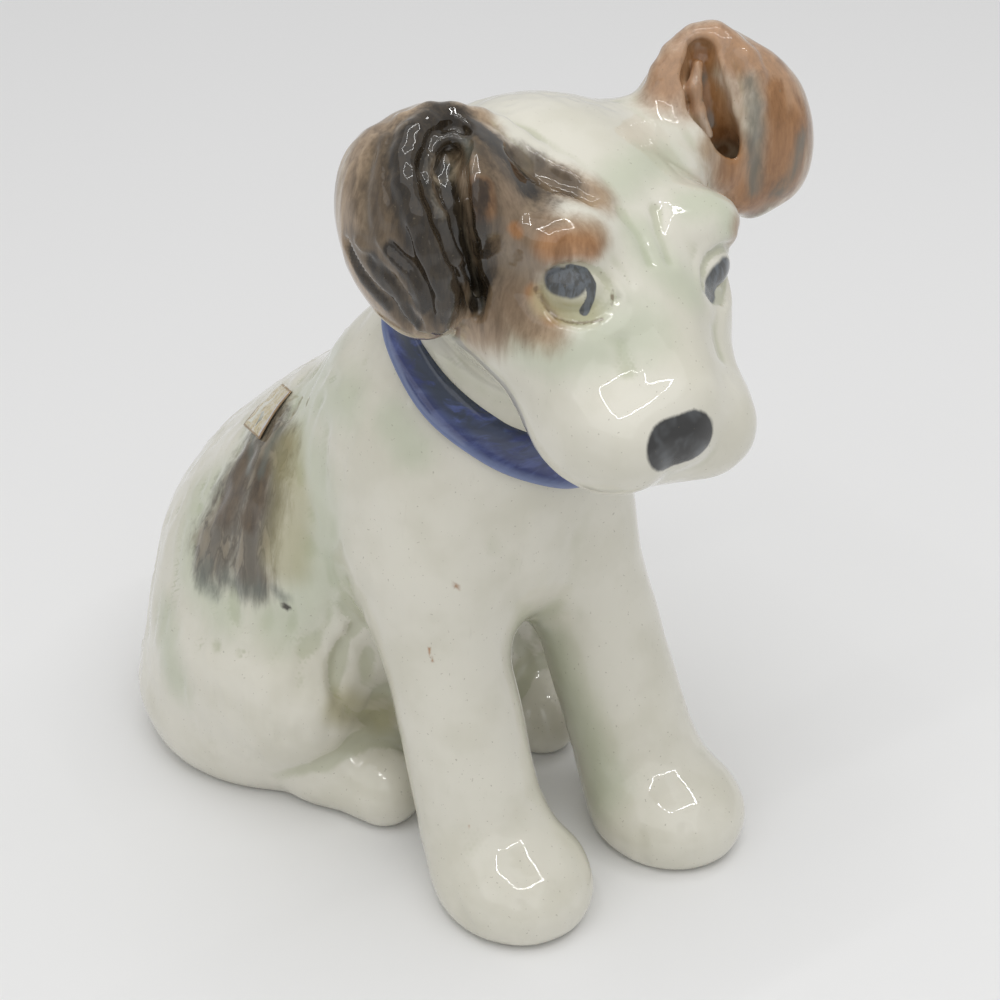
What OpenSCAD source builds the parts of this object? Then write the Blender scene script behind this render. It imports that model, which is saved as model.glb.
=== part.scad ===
// Seated terrier puppy, a slip-cast and glazed ceramic ornament.
// The form is built up as a modeller builds it in clay: eggs and rolls pressed together with soft fillets,
// hollows carved out, and one skin drawn over the whole. Flat luting faces part the castings.
// Millimetres. The puppy faces -Y, stands on z = 0, and the origin is under the middle of its seat.

/* [Trunk] */
// Width across the seat
seat_w = 82; // [70:1:92]
// Length of the trunk, from the breast to the back of the seat
trunk_l = 96; // [86:1:108]
// Height of the neck above the table
neck_h = 92; // [86:1:100]
// Width of the breast
breast_w = 48; // [42:1:54]
// Diameter of the neck below the head
neck_d = 36; // [32:1:40]

/* [Legs] */
// Thickness of a foreleg
foreleg_d = 20; // [17:0.5:22]
// Height of the elbow
elbow_h = 58; // [54:1:62]
// Distance between the forepaws, centre to centre
stance_w = 33; // [30:0.5:36]
// Width of a forepaw
paw_w = 23; // [20:0.5:26]
// Length of a forepaw
paw_l = 27; // [24:0.5:32]
// Height of a forepaw
paw_h = 16; // [13:0.5:19]
// Width of a hind foot
foot_w = 15; // [12:0.5:17]
// Length of a hind foot in front of the haunch
foot_l = 14; // [11:0.5:17]

/* [Head] */
// Width of the skull
skull_w = 54; // [48:1:60]
// Length of the skull, brow to nape
skull_l = 50; // [45:1:56]
// Height of the skull
skull_h = 42; // [38:1:47]
// Height of the middle of the skull above the neck joint
skull_rise = 26; // [23:1:29]
// Width of the muzzle
muzzle_w = 40; // [35:1:44]
// Length of the muzzle in front of the brow
muzzle_l = 30; // [26:1:34]
// Depth of the muzzle, bridge to chin
muzzle_h = 25; // [22:0.5:28]
// Tilt of the head to its left, in degrees
head_tilt = 11; // [0:1:16]

/* [Ears] */
// Length of the right ear, which hangs
hanging_ear_l = 36; // [31:1:41]
// Width of the right ear
hanging_ear_w = 26; // [22:1:30]
// Length of the left ear, which is pricked and folded over
pricked_ear_l = 34; // [29:1:38]
// Width of the left ear
pricked_ear_w = 27; // [23:1:31]
// Width of the hollow of an ear
ear_hollow_w = 8; // [5:0.5:10]

/* [Tail] */
// Length of the tail
tail_l = 36; // [26:1:44]
// Thickness of the tail at its root
tail_d = 11; // [8:0.5:13]

/* [Collar and label] */
// Width of the collar strap
collar_w = 7; // [5:0.5:9]
// Height of the strap above the neck
collar_t = 1.6; // [1:0.1:2.5]
// Length of the foil label
label_l = 10; // [7:0.5:14]
// Width of the foil label
label_w = 7; // [5:0.5:10]
// Thickness of the foil label
label_t = 0.4; // [0.3:0.1:0.6]

/* [Casting] */
// Wall thickness of the hollow castings
wall = 3.5; // [2.5:0.25:5]
// Diameter of the vent hole under the seat
vent_d = 9; // [6:0.5:14]
// Spacing of the surface points on the trunk
facet = 4.8; // [4.4:0.2:6]

/* [Hidden] */

glaze = "#E4E2D6";
brown = "#6E5340";
tan = "#B8764A";
blue = "#34498F";
gold = "#B9A271";

// Places that more than one piece follows
head_shift = 0.067 * seat_w;
neck_at = [0.36 * head_shift, -0.47 * trunk_l, neck_h];
neck_lean = [29, 0, 0];
head_at = [head_shift, -0.51 * trunk_l, neck_h + skull_rise];
head_lean = [0, head_tilt, 0];
seam_at = [0.33 * breast_w, -0.54 * trunk_l, 0.68 * elbow_h];
foreleg_lean = [-19, 0, 0];
paw_shift = 0.12 * stance_w;
paw_reach = 0.768 * foreleg_d - seam_at.y;
paw_stagger = 0.1 * paw_l;
instep_at = [0.25 * seat_w, -0.22 * trunk_l, 0];
foot_seam_at = [0.22 * seat_w, -0.27 * trunk_l, 0];
fillet = 0.12 * seat_w;
label_at = [-0.25 * seat_w, -0.052 * trunk_l, 0.793 * neck_h];
label_lean = [-27, -46, 0];
// Room round a lattice, also as a share of its cells, and the reach of a cutting block
spare_share = 1.5;
margin = spare_share * facet;
reach = trunk_l + neck_h;
// Cells of finer skins, as shares of the spacing on the trunk
limb_share = 0.69;
head_share = 0.77;
ear_share = 0.55;
cavity_share = 1.4;

// Clay masses. An egg has a place, three radii, a lean in degrees and a fillet, as shares;
// a roll has two ends, the radius at each end and a fillet.
trunk_shares = [
    [[0, 0, 0.29], [0.5, 0.33, 0.35], [0, 0, 0], 1],
    [[0, 0.01, 0.19], [0.5, 0.34, 0.26], [0, 0, 0], 1],
    [[0, -0.15, 0.575], [0.38, 0.28, 0.39], [32, 0, 0], 1.4],
    [[0.32, -0.05, 0.23], [0.207, 0.28, 0.25], [0, 0, 0], 0.5],
    [[-0.32, -0.05, 0.23], [0.207, 0.28, 0.25], [0, 0, 0], 0.5]];
breast_shares = [
    [[0, -0.385, 0.78], [0.5, 0.23, 0.29], [0, 0, 0], 1.2],
    [[0, -0.43, 0.63], [0.27, 0.167, 0.163], [0, 0, 0], 0.8]];
skull_shares = [
    [[0, 0, 0], [0.5, 0.5, 0.5], [0, 0, 0], 1],
    [[0.35, 0, 0.26], [0.15, 0.22, 0.19], [0, 0, 0], 0.6],
    [[-0.35, 0, 0.26], [0.15, 0.22, 0.19], [0, 0, 0], 0.6],
    [[0.15, -0.38, -0.19], [0.24, 0.28, 0.29], [0, 0, 0], 1],
    [[-0.15, -0.38, -0.19], [0.24, 0.28, 0.29], [0, 0, 0], 1],
    [[0.24, -0.4, 0.19], [0.15, 0.12, 0.12], [0, 0, 0], 0.5],
    [[-0.24, -0.4, 0.19], [0.15, 0.12, 0.12], [0, 0, 0], 0.5]];
muzzle_shares = [
    [[0.24, -0.3, -0.68], [0.26, 0.42, 0.48], [0, 0, 0], 0.6],
    [[-0.24, -0.3, -0.68], [0.26, 0.42, 0.48], [0, 0, 0], 0.6],
    [[0, -0.33, -0.8], [0.23, 0.33, 0.32], [0, 0, 0], 0.5]];
hanging_ear_shares = [
    [[0.02, -0.06, 0.09], [0.33, 0.48, 0.5], [-20, -3, 0], 0.4],
    [[0.25, -0.19, 0.41], [0.35, 0.54, 0.22], [20, 9, 0], 0.5]];
pricked_ear_shares = [
    [[0.34, -0.22, 0.4], [0.28, 0.31, 0.41], [0, -25, 0], 0.4],
    [[-0.11, 0, 0.57], [0.33, 0.26, 0.35], [0, 19, 0], 0.5]];

level = [[1, 0, 0], [0, 1, 0], [0, 0, 1]];

// Matrix that turns about x, then y, then z
function turning(a) =
    [[cos(a.z), -sin(a.z), 0], [sin(a.z), cos(a.z), 0], [0, 0, 1]] *
    [[cos(a.y), 0, sin(a.y)], [0, 1, 0], [-sin(a.y), 0, cos(a.y)]] *
    [[1, 0, 0], [0, cos(a.x), -sin(a.x)], [0, sin(a.x), cos(a.x)]];

function scaled(share, frame) = [for (i = [0:2]) share[i] * frame[i]];

function eggs(rows, at, frame, turn = level) = [for (r = rows)
    ["egg", at + turn * scaled(r[0], frame), scaled(r[1], frame), turn * turning(r[2]), r[3] * fillet]];

function roll(from, to, radii, blend_share) = ["roll", from, to, radii, blend_share * fillet];

head_turn = turning(head_lean);
function on_head(place) = head_at + head_turn * place;

trunk = concat(
    eggs(trunk_shares, [0, 0, 0], [seat_w, trunk_l, neck_h]),
    eggs(breast_shares, [0, 0, 0], [breast_w, trunk_l, neck_h]),
    [roll([0, -0.345 * trunk_l, 0.89 * neck_h], [0.55 * head_shift, -0.48 * trunk_l, 1.15 * neck_h],
        [0.583 * neck_d, 0.486 * neck_d], 1)]);

brow_at = [0, -0.4 * skull_l, 0];
skull = concat(
    eggs(skull_shares, head_at, [skull_w, skull_l, skull_h], head_turn),
    eggs(muzzle_shares, on_head(brow_at), [muzzle_w, muzzle_l, muzzle_h], head_turn),
    [roll(on_head(brow_at), on_head(brow_at + [0, -0.57 * muzzle_l, -0.52 * muzzle_h]),
        [0.32 * muzzle_h, 0.26 * muzzle_h], 0.6)]);

function elbow(side) = [side * 0.32 * breast_w, -0.48 * trunk_l, elbow_h];
function paw(side) = [side * stance_w / 2 + paw_shift, -paw_reach - side * paw_stagger / 2, 0.34 * paw_h];
function foreleg(side) = [
    ["egg", elbow(side) + [0, 0.03 * trunk_l, 0.09 * elbow_h],
        [0.5 * foreleg_d, 0.7 * foreleg_d, 0.345 * elbow_h], turning([-16, 0, 0]), 0.8 * fillet],
    roll(elbow(side), paw(side) + [0, 0.22 * paw_l, 0.6 * paw_h], [0.55 * foreleg_d, 0.475 * foreleg_d], 0.8),
    ["egg", paw(side), [paw_w / 2, paw_l / 2, 0.66 * paw_h], level, 0.6 * fillet]];

function instep(side) = [side * instep_at.x, instep_at.y, 0.45 * foot_w];
function hock(side) = [side * 0.31 * seat_w, -0.07 * trunk_l, 0.6 * foot_w];
function toe(side) = instep(side) + [-side * 0.3 * foot_l, -0.85 * foot_l, -0.1 * foot_w];
function hind_foot(side) = [
    roll(hock(side), instep(side), [0.65 * foot_w, 0.56 * foot_w], 0.3),
    roll(instep(side), toe(side), [0.55 * foot_w, 0.47 * foot_w], 0.3)];

hanging_ear_at = [-0.58 * skull_w, 0, 0];
pricked_ear_at = [0.54 * skull_w, 0, 0];
hanging_ear_frame = [hanging_ear_w, hanging_ear_w, hanging_ear_l];
pricked_ear_frame = [pricked_ear_w, pricked_ear_w, pricked_ear_l];
hanging_ear = eggs(hanging_ear_shares, on_head(hanging_ear_at), hanging_ear_frame, head_turn);
pricked_ear = eggs(pricked_ear_shares, on_head(pricked_ear_at), pricked_ear_frame, head_turn);

tail_root = [0, 0.315 * trunk_l, 0.65 * tail_d];
tail_bend = tail_root + tail_l * [-0.42, -0.06, 0];
tail_tip = tail_bend + tail_l * [-0.42, -0.25, 0.03];
tail_rolls = [
    roll(tail_root, tail_bend, [0.5 * tail_d, 0.44 * tail_d], 0.2),
    roll(tail_bend, tail_tip, [0.44 * tail_d, 0.32 * tail_d], 0.2)];

masses = concat(trunk, foreleg(-1), foreleg(1), hind_foot(-1), hind_foot(1), skull, hanging_ear, pricked_ear);
hollow_masses = concat(trunk, skull);
hollows = [
    roll(on_head(hanging_ear_at + [0, -0.5 * hanging_ear_w, 0.48 * hanging_ear_l]),
        on_head(hanging_ear_at + [0.18 * hanging_ear_w, -0.77 * hanging_ear_w, -0.08 * hanging_ear_l]),
        [0.44 * ear_hollow_w, 0.32 * ear_hollow_w], 0.3),
    roll(on_head(pricked_ear_at + [-0.22 * pricked_ear_w, -0.37 * pricked_ear_w, 0.88 * pricked_ear_l]),
        on_head(pricked_ear_at + [0.2 * pricked_ear_w, -0.52 * pricked_ear_w, 0.2 * pricked_ear_l]),
        [0.5 * ear_hollow_w, 0.38 * ear_hollow_w], 0.3)];

// Distance to one mass, negative inside
function egg_depth(q, r) =
    let (u = [q.x / r.x, q.y / r.y, q.z / r.z], g = norm([u.x / r.x, u.y / r.y, u.z / r.z]))
    g == 0 ? -min(r) : norm(u) * (norm(u) - 1) / g;
function roll_depth(q, axis, radii) =
    let (t = max(0, min(1, q * axis / (axis * axis))))
    norm(q - t * axis) - radii[0] - t * (radii[1] - radii[0]);
function depth(p, m) =
    m[0] == "egg" ? egg_depth((p - m[1]) * m[3], m[2]) : roll_depth(p - m[1], m[2] - m[1], m[3]);

// Joins two distances with a fillet of reach k
function press(a, b, k) = let (h = max(k - abs(a - b), 0) / k) min(a, b) - h * h * k / 4;
function pressed(p, list, i = 0, d = reach) =
    i == len(list) ? d : pressed(p, list, i + 1, press(d, depth(p, list[i]), list[i][4]));
function carved(p, list, d, i = 0) =
    i == len(list) ? d : carved(p, list, -press(-d, depth(p, list[i]), list[i][4]), i + 1);

// Masses that come near the box from lo to hi
function middle(m) = m[0] == "egg" ? m[1] : (m[1] + m[2]) / 2;
function bulk(m) = m[0] == "egg" ? max(m[2]) : norm(m[2] - m[1]) / 2 + max(m[3]);
function near(list, lo, hi) = [for (m = list)
    let (c = middle(m), gap = norm([for (i = [0:2]) max(lo[i] - c[i], c[i] - hi[i], 0)]))
    if (gap < bulk(m) + m[4]) m];

// A cutting block is a place, a lean, and its lowest and highest corners there
function block_depth(p, b) =
    let (q = (p - b[0]) * turning(b[1])) max([for (i = [0:2]) max(b[2][i] - q[i], q[i] - b[3][i])]);
module block(b, grow = 0) {
    translate(b[0]) rotate(b[1]) translate(b[2] - grow * [1, 1, 1]) cube(b[3] - b[2] + 2 * grow * [1, 1, 1]);
}

// Trims a distance well clear of the blocks' faces, where a cut follows.
// Side 1 empties the blocks, side -1 keeps only what is in them.
function trimmed(p, blocks, side, s, d, i = 0) = i == len(blocks) ? d :
    trimmed(p, blocks, side, s, -press(-d, side * block_depth(p, blocks[i]) + spare_share * s, s), i + 1);

head_side = [neck_at, neck_lean, [-reach, -reach, 0], [reach, reach, reach]];
body_side = [neck_at, neck_lean, [-reach, -reach, -reach], [reach, reach, 0]];
under_table = [[0, 0, 0], [0, 0, 0], [-reach, -reach, -reach], [reach, reach, 0]];
under_wall = [[0, 0, 0], [0, 0, 0], [-reach, -reach, -reach], [reach, reach, wall]];
forelegs_block = [[0, seam_at.y, seam_at.z], foreleg_lean,
    [-1.4 * breast_w, -breast_w, -reach], [1.4 * breast_w, 0.56 * foreleg_d, 0]];
function foot_block(side) = [scaled([side, 1, 1], foot_seam_at), [26, 0, 0],
    [-foot_w, -1.4 * foot_l, -foot_w], [foot_w, 0, 1.2 * foot_w]];
hanging_ear_block = [on_head([-0.36 * skull_w, 0, 0]), head_lean,
    [-hanging_ear_l, -0.74 * hanging_ear_w, -0.43 * hanging_ear_l], [0, hanging_ear_l, hanging_ear_l]];
pricked_ear_block = [on_head([0.4 * skull_w, 0, 0.33 * skull_h]), head_lean + [0, 48, 0],
    [-pricked_ear_l, -pricked_ear_l, 0], [pricked_ear_l, pricked_ear_l, 1.5 * pricked_ear_l]];

// Samples of a distance over a lattice of n cells; the border counts as outside
function samples(f, lo, n, s) =
    let (centre = lo + s * [0.5, 0.5, 0.5])
    let (far = [for (i = [0:2:n.x]) [for (j = [0:2:n.y]) [for (k = [0:2:n.z]) f(centre + s * [i, j, k])]]])
    [for (i = [0:n.x]) [for (j = [0:n.y]) [for (k = [0:n.z])
        let (g = far[floor(i / 2)][floor(j / 2)][floor(k / 2)])
        let (d = abs(g) > 3 * s ? g : f(lo + s * [i, j, k]))
        let (rim = min(i, j, k, n.x - i, n.y - j, n.z - k) == 0)
        rim ? max(d, s / 4) : d == 0 ? s / 1000 : d]]];

x_signs = [-1, 1, -1, 1, -1, 1, -1, 1];
y_signs = [-1, -1, 1, 1, -1, -1, 1, 1];
z_signs = [-1, -1, -1, -1, 1, 1, 1, 1];
all_signs = [1, 1, 1, 1, 1, 1, 1, 1];

// One skin point in each cell that the surface crosses, set on the surface
function skin_point(v, i, j, k) =
    let (c = [v[i][j][k], v[i + 1][j][k], v[i][j + 1][k], v[i + 1][j + 1][k],
        v[i][j][k + 1], v[i + 1][j][k + 1], v[i][j + 1][k + 1], v[i + 1][j + 1][k + 1]])
    min(c) >= 0 || max(c) < 0 ? false :
    let (g = [x_signs * c, y_signs * c, z_signs * c])
    [i, j, k] + [for (d = (all_signs * c) / 2 * g / (g * g)) max(0, min(1, 0.5 - d))];

// Moves a point straight onto the surface, by the slope over a short step, and keeps it in its cell
function settled(f, p, s) =
    let (d = f(p), h = s / 20)
    let (g = [f(p + [h, 0, 0]) - d, f(p + [0, h, 0]) - d, f(p + [0, 0, h]) - d] / h)
    let (on = p - d * g / max(g * g, 0.5))
    [for (i = [0:2]) let (low = s * floor(p[i] / s)) max(low, min(low + s, on[i]))];

// Draws the skin of a distance f through the box from lo to hi, with cells of size s
module lattice_skin(f, low, high, s) {
    first = [for (i = [0:2]) floor(low[i] / s)];
    lo = s * first;
    n = [for (i = [0:2]) ceil(high[i] / s) - first[i]];
    v = samples(f, lo, n, s);
    cells = [for (i = [0:n.x - 1], j = [0:n.y - 1], k = [0:n.z - 1]) skin_point(v, i, j, k)];
    order = [for (c = 0, m = 0; c < len(cells); m = m + (is_list(cells[c]) ? 1 : 0), c = c + 1) m];
    function id(i, j, k) = order[(i * n.y + j) * n.z + k];
    function quad(inside, a, b, c, d) = inside ? [d, c, b, a] : [a, b, c, d];
    quads = [for (i = [0:n.x - 1], j = [0:n.y - 1], k = [0:n.z - 1]) let (a = v[i][j][k] < 0) each [
        if (j > 0 && k > 0 && a != (v[i + 1][j][k] < 0))
            quad(a, id(i, j - 1, k - 1), id(i, j, k - 1), id(i, j, k), id(i, j - 1, k)),
        if (i > 0 && k > 0 && a != (v[i][j + 1][k] < 0))
            quad(a, id(i - 1, j, k - 1), id(i - 1, j, k), id(i, j, k), id(i, j, k - 1)),
        if (i > 0 && j > 0 && a != (v[i][j][k + 1] < 0))
            quad(a, id(i - 1, j - 1, k), id(i, j - 1, k), id(i, j, k), id(i - 1, j, k))]];
    points = [for (c = cells) if (is_list(c)) settled(f, lo + s * c, s)];
    function span(q, i, j) = norm(points[q[i]] - points[q[j]]);
    polyhedron(points, [for (q = quads) each span(q, 0, 2) < span(q, 1, 3) ?
        [[q[0], q[1], q[2]], [q[0], q[2], q[3]]] : [[q[1], q[2], q[3]], [q[1], q[3], q[0]]]]);
}

// The figure's own skin in a box, trimmed to some blocks and out of others
module skin(lo, hi, s, within = [], without = [], list = masses) {
    clay = near(list, lo, hi);
    carving = near(hollows, lo, hi);
    whole = function (p) carved(p, carving, pressed(p, clay));
    f = function (p) trimmed(p, within, -1, s, trimmed(p, without, 1, s, whole(p)));
    lattice_skin(f, lo, hi, s);
}

// The inner face of a hollow casting
module cavity(lo, hi, s, within) {
    clay = near(hollow_masses, lo, hi);
    f = function (p) trimmed(p, within, -1, s, pressed(p, clay) + wall);
    lattice_skin(f, lo, hi, s);
}

trunk_lo = [-0.62 * seat_w, -0.85 * trunk_l, -margin];
trunk_hi = [0.62 * seat_w, 0.5 * trunk_l, 1.22 * neck_h];
module body() {
    legs = [forelegs_block, foot_block(-1), foot_block(1)];
    color(glaze) difference() {
        skin(trunk_lo, trunk_hi, facet, within = [body_side], without = legs);
        block(head_side);
        block(under_table);
        for (b = legs)
            block(b);
        difference() {
            cavity(trunk_lo, trunk_hi, cavity_share * facet, [body_side]);
            block(under_wall);
        }
        translate([0, 0.15 * trunk_l, -wall]) cylinder(h = 3 * wall, d = vent_d, $fn = 48);
    }
}

head_lo = head_at - [0.75 * skull_w, 0.55 * skull_l + muzzle_l, skull_h];
head_hi = head_at + [0.75 * skull_w, 0.75 * skull_l, 0.8 * skull_h];
module head() {
    ears = [hanging_ear_block, pricked_ear_block];
    color(glaze) difference() {
        skin(head_lo, head_hi, head_share * facet, within = [head_side], without = ears);
        block(body_side);
        for (b = ears)
            block(b);
        difference() {
            cavity(head_lo, head_hi, cavity_share * facet, [head_side]);
            for (b = ears)
                block(b, wall);
        }
    }
}

module right_ear() {
    at = on_head(hanging_ear_at);
    room = [0.75 * hanging_ear_w, hanging_ear_w, 0.8 * hanging_ear_l];
    color(brown) intersection() {
        skin(at - room, at + room, ear_share * facet, within = [hanging_ear_block]);
        block(hanging_ear_block);
    }
}

module left_ear() {
    at = on_head(pricked_ear_at + [0, 0, 0.4 * pricked_ear_l]);
    room = [pricked_ear_w, pricked_ear_w, 0.85 * pricked_ear_l];
    color(tan) intersection() {
        skin(at - room, at + room, ear_share * facet, within = [pricked_ear_block]);
        block(pricked_ear_block);
    }
}

module foreleg_casting(side) {
    top = scaled([side, 1, 1], seam_at);
    room = [paw_w, paw_l + 0.2 * elbow_h, margin];
    clay = concat(trunk, foreleg(side));
    color(glaze) difference() {
        intersection() {
            skin(top - room - [0, 0, top.z], top + room, limb_share * facet, [forelegs_block], list = clay);
            block(forelegs_block);
        }
        block(under_table);
    }
}
module right_foreleg() {
    foreleg_casting(-1);
}
module left_foreleg() {
    foreleg_casting(1);
}

module foot_casting(side) {
    at = scaled([side, 1, 1], foot_seam_at) - [0, 0.5 * foot_l, 0];
    room = [1.2 * foot_w, 1.4 * foot_l + margin, margin];
    clay = concat(trunk, hind_foot(side));
    color(glaze) difference() {
        intersection() {
            skin(at - room, at + room + [0, 0, foot_w], limb_share * facet, [foot_block(side)], list = clay);
            block(foot_block(side));
        }
        block(under_table);
    }
}
module right_hind_foot() {
    foot_casting(-1);
}
module left_hind_foot() {
    foot_casting(1);
}

module tail() {
    lo = [-0.55 * seat_w, 0.05 * trunk_l, -margin];
    hi = [0.15 * seat_w, 0.45 * trunk_l, 3 * tail_d];
    color(glaze) difference() {
        skin(lo, hi, limb_share * facet, list = tail_rolls);
        skin(lo, hi, facet, list = trunk);
        block(under_table);
    }
}

// Where a ray from inside the neck leaves a distance f
function leaving(f, from, way, r, steps = 12) =
    steps == 0 ? r : leaving(f, from, way, r - f(from + r * way), steps - 1);

// The strap's section: places across its width and over the neck, as shares of its width and height
strap_shares = [[-0.5, 0], [-0.5, 0.75], [-0.4, 1], [-0.1, 0.7], [0.35, 0.75], [0.5, 0.5], [0.5, 0]];
strap_sides = 48;
module collar() {
    near_neck = near(masses, neck_at - neck_d * [1, 1, 1], neck_at + neck_d * [1, 1, 1]);
    f = function (p) pressed(p, near_neck);
    turn = turning(neck_lean);
    rings = [for (j = [0:strap_sides - 1]) let (a = 360 * j / strap_sides, way = turn * [cos(a), sin(a), 0])
        [for (q = strap_shares) let (from = neck_at + turn * [0, 0, q.x * collar_w])
            from + (leaving(f, from, way, neck_d / 4) + q.y * collar_t) * way]];
    count = len(strap_shares);
    color(blue) polyhedron([for (r = rings) each r],
        [for (j = [0:strap_sides - 1], i = [0:count - 1])
            let (a = j * count, b = (j + 1) % strap_sides * count, n = (i + 1) % count)
            each [[a + i, a + n, b + n], [a + i, b + n, b + i]]]);
}

// A thin plate bent to the back, in a grid of small panes
label_panes = 4;
module back_label() {
    near_label = near(masses, label_at - label_l * [1, 1, 1], label_at + label_l * [1, 1, 1]);
    f = function (p) pressed(p, near_label);
    turn = turning(label_lean);
    way = turn * [0, 0, 1];
    grid = [for (i = [0:label_panes], j = [0:label_panes])
        let (share = [i / label_panes - 0.5, j / label_panes - 0.5, 0])
        let (from = label_at + turn * scaled(share, [label_w, label_l, 0]))
        from + leaving(f, from, way, 0) * way];
    side = label_panes + 1;
    top = side * side;
    edge = [each [0:side:top - side], each [top - side + 1:top - 1],
        each [top - 1 - side:-side:side - 1], each [side - 2:-1:1]];
    color(gold) polyhedron(concat(grid, [for (p = grid) p + label_t * way]), [
        for (i = [0:label_panes - 1], j = [0:label_panes - 1]) let (a = i * side + j, b = a + side) each [
            [a, b, a + 1], [b, b + 1, a + 1],
            [top + a, top + a + 1, top + b], [top + b, top + a + 1, top + b + 1]],
        for (n = [0:len(edge) - 1]) let (a = edge[n], b = edge[(n + 1) % len(edge)]) each [
            [a, top + a, b], [b, top + a, top + b]]]);
}

body();
head();
right_ear();
left_ear();
right_foreleg();
left_foreleg();
right_hind_foot();
left_hind_foot();
tail();
collar();
back_label();
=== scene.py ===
import math
import bpy
import numpy as np
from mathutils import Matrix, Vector


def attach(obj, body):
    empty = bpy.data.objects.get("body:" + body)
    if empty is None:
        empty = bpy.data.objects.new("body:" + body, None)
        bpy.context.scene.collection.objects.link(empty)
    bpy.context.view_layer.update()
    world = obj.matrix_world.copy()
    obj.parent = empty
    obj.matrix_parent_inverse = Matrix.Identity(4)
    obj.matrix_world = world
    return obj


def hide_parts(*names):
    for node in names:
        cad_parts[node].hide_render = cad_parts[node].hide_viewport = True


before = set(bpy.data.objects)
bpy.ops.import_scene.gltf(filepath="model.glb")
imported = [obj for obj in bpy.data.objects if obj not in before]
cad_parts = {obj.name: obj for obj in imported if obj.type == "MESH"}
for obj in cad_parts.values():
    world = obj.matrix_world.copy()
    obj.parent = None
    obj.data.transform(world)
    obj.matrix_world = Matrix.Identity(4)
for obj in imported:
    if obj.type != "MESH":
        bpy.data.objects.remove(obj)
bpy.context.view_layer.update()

MM = 0.001
FAR = 60.0    # stands for nowhere near, in millimetres

# Driving sizes, in millimetres, as the figure in the photograph has them
SEAT_W, TRUNK_L, NECK_H, BREAST_W, NECK_D = 82.0, 96.0, 92.0, 48.0, 36.0
FORELEG_D, ELBOW_H, STANCE_W = 19.0, 58.0, 34.0
PAW_W, PAW_L, PAW_H, FOOT_W, FOOT_L = 27.0, 31.0, 15.0, 15.0, 14.0
SKULL_W, SKULL_L, SKULL_H, SKULL_RISE = 54.0, 50.0, 42.0, 26.0
MUZZLE_W, MUZZLE_L, MUZZLE_H, HEAD_TILT = 40.0, 30.0, 25.0, 11.0
HANGING_EAR_L, HANGING_EAR_W, PRICKED_EAR_L, PRICKED_EAR_W = 36.0, 26.0, 34.0, 27.0
TAIL_L, TAIL_D, COLLAR_W, COLLAR_T = 36.0, 11.0, 7.0, 1.6
LABEL_L, LABEL_W = 12.0, 10.0
VENT_D = 9.0

HEAD_SHIFT = 0.067 * SEAT_W
NECK_AT = np.array([0.31 * HEAD_SHIFT, -0.486 * TRUNK_L, 0.98 * NECK_H])
HEAD_AT = np.array([HEAD_SHIFT, -0.51 * TRUNK_L, NECK_H + SKULL_RISE])
FILLET = 0.12 * SEAT_W


def turning(rx=0.0, ry=0.0, rz=0.0):
    """Matrix that turns about x, then y, then z, in degrees."""
    cx, sx = math.cos(math.radians(rx)), math.sin(math.radians(rx))
    cy, sy = math.cos(math.radians(ry)), math.sin(math.radians(ry))
    cz, sz = math.cos(math.radians(rz)), math.sin(math.radians(rz))
    about_x = np.array([[1, 0, 0], [0, cx, -sx], [0, sx, cx]])
    about_y = np.array([[cy, 0, sy], [0, 1, 0], [-sy, 0, cy]])
    about_z = np.array([[cz, -sz, 0], [sz, cz, 0], [0, 0, 1]])
    return about_z @ about_y @ about_x


LEVEL = np.eye(3)
HEAD_TURN = turning(0, HEAD_TILT, 0)
NECK_TURN = turning(28.5, 22, 0)


def on_head(x, y, z):
    return HEAD_AT + HEAD_TURN @ np.array([x, y, z], float)


def mirrored(p):
    """The place on the other side of the head."""
    q = (np.atleast_2d(p) - HEAD_AT) @ HEAD_TURN
    return HEAD_AT + (q * [-1, 1, 1]) @ HEAD_TURN.T


# Camera: the photograph's viewing angle, for a frame of 1000 x 1000
FRAME_PX, SENSOR = 1000.0, 36.0
AZIMUTH, ELEVATION, DISTANCE, FOCAL_PX = math.radians(-36), math.radians(33), 456.0, 2688.0
TARGET = np.array([0.0, -45.0, 66.5])
BACK = np.array([math.sin(AZIMUTH) * math.cos(ELEVATION),
                 -math.cos(AZIMUTH) * math.cos(ELEVATION),
                 math.sin(ELEVATION)])
CAMERA_AT = TARGET + DISTANCE * BACK
CAMERA_RIGHT = np.array([math.cos(AZIMUTH), math.sin(AZIMUTH), 0.0])
CAMERA_UP = np.cross(BACK, CAMERA_RIGHT)

camera_data = bpy.data.cameras.new("camera")
camera_data.sensor_width = SENSOR
camera_data.lens = FOCAL_PX * SENSOR / FRAME_PX
camera_data.clip_start = 0.02
camera = bpy.data.objects.new("camera", camera_data)
bpy.context.scene.collection.objects.link(camera)
camera.location = Vector(CAMERA_AT * MM)
camera.rotation_euler = Vector(-BACK).to_track_quat("-Z", "Y").to_euler()
bpy.context.scene.camera = camera


# Clay masses: eggs and rolls pressed together (sign 1) or carved out (sign -1) with soft fillets
def egg(at, radii, turn=LEVEL, fillet=1.0, sign=1):
    at, radii = np.array(at, float), np.array(radii, float)
    return {"at": at, "radii": radii, "turn": turn, "fillet": fillet, "sign": sign,
            "middle": at, "bulk": float(max(radii))}


def roll(a, b, ra, rb, fillet=1.0, sign=1):
    a, b = np.array(a, float), np.array(b, float)
    return {"a": a, "b": b, "ends": (ra, rb), "fillet": fillet, "sign": sign,
            "middle": (a + b) / 2, "bulk": float(np.linalg.norm(b - a)) / 2 + max(ra, rb)}


def chain(points, radii, fillet, sign=1):
    return [roll(points[i], points[i + 1], radii[i], radii[i + 1], fillet, sign)
            for i in range(len(points) - 1)]


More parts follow.
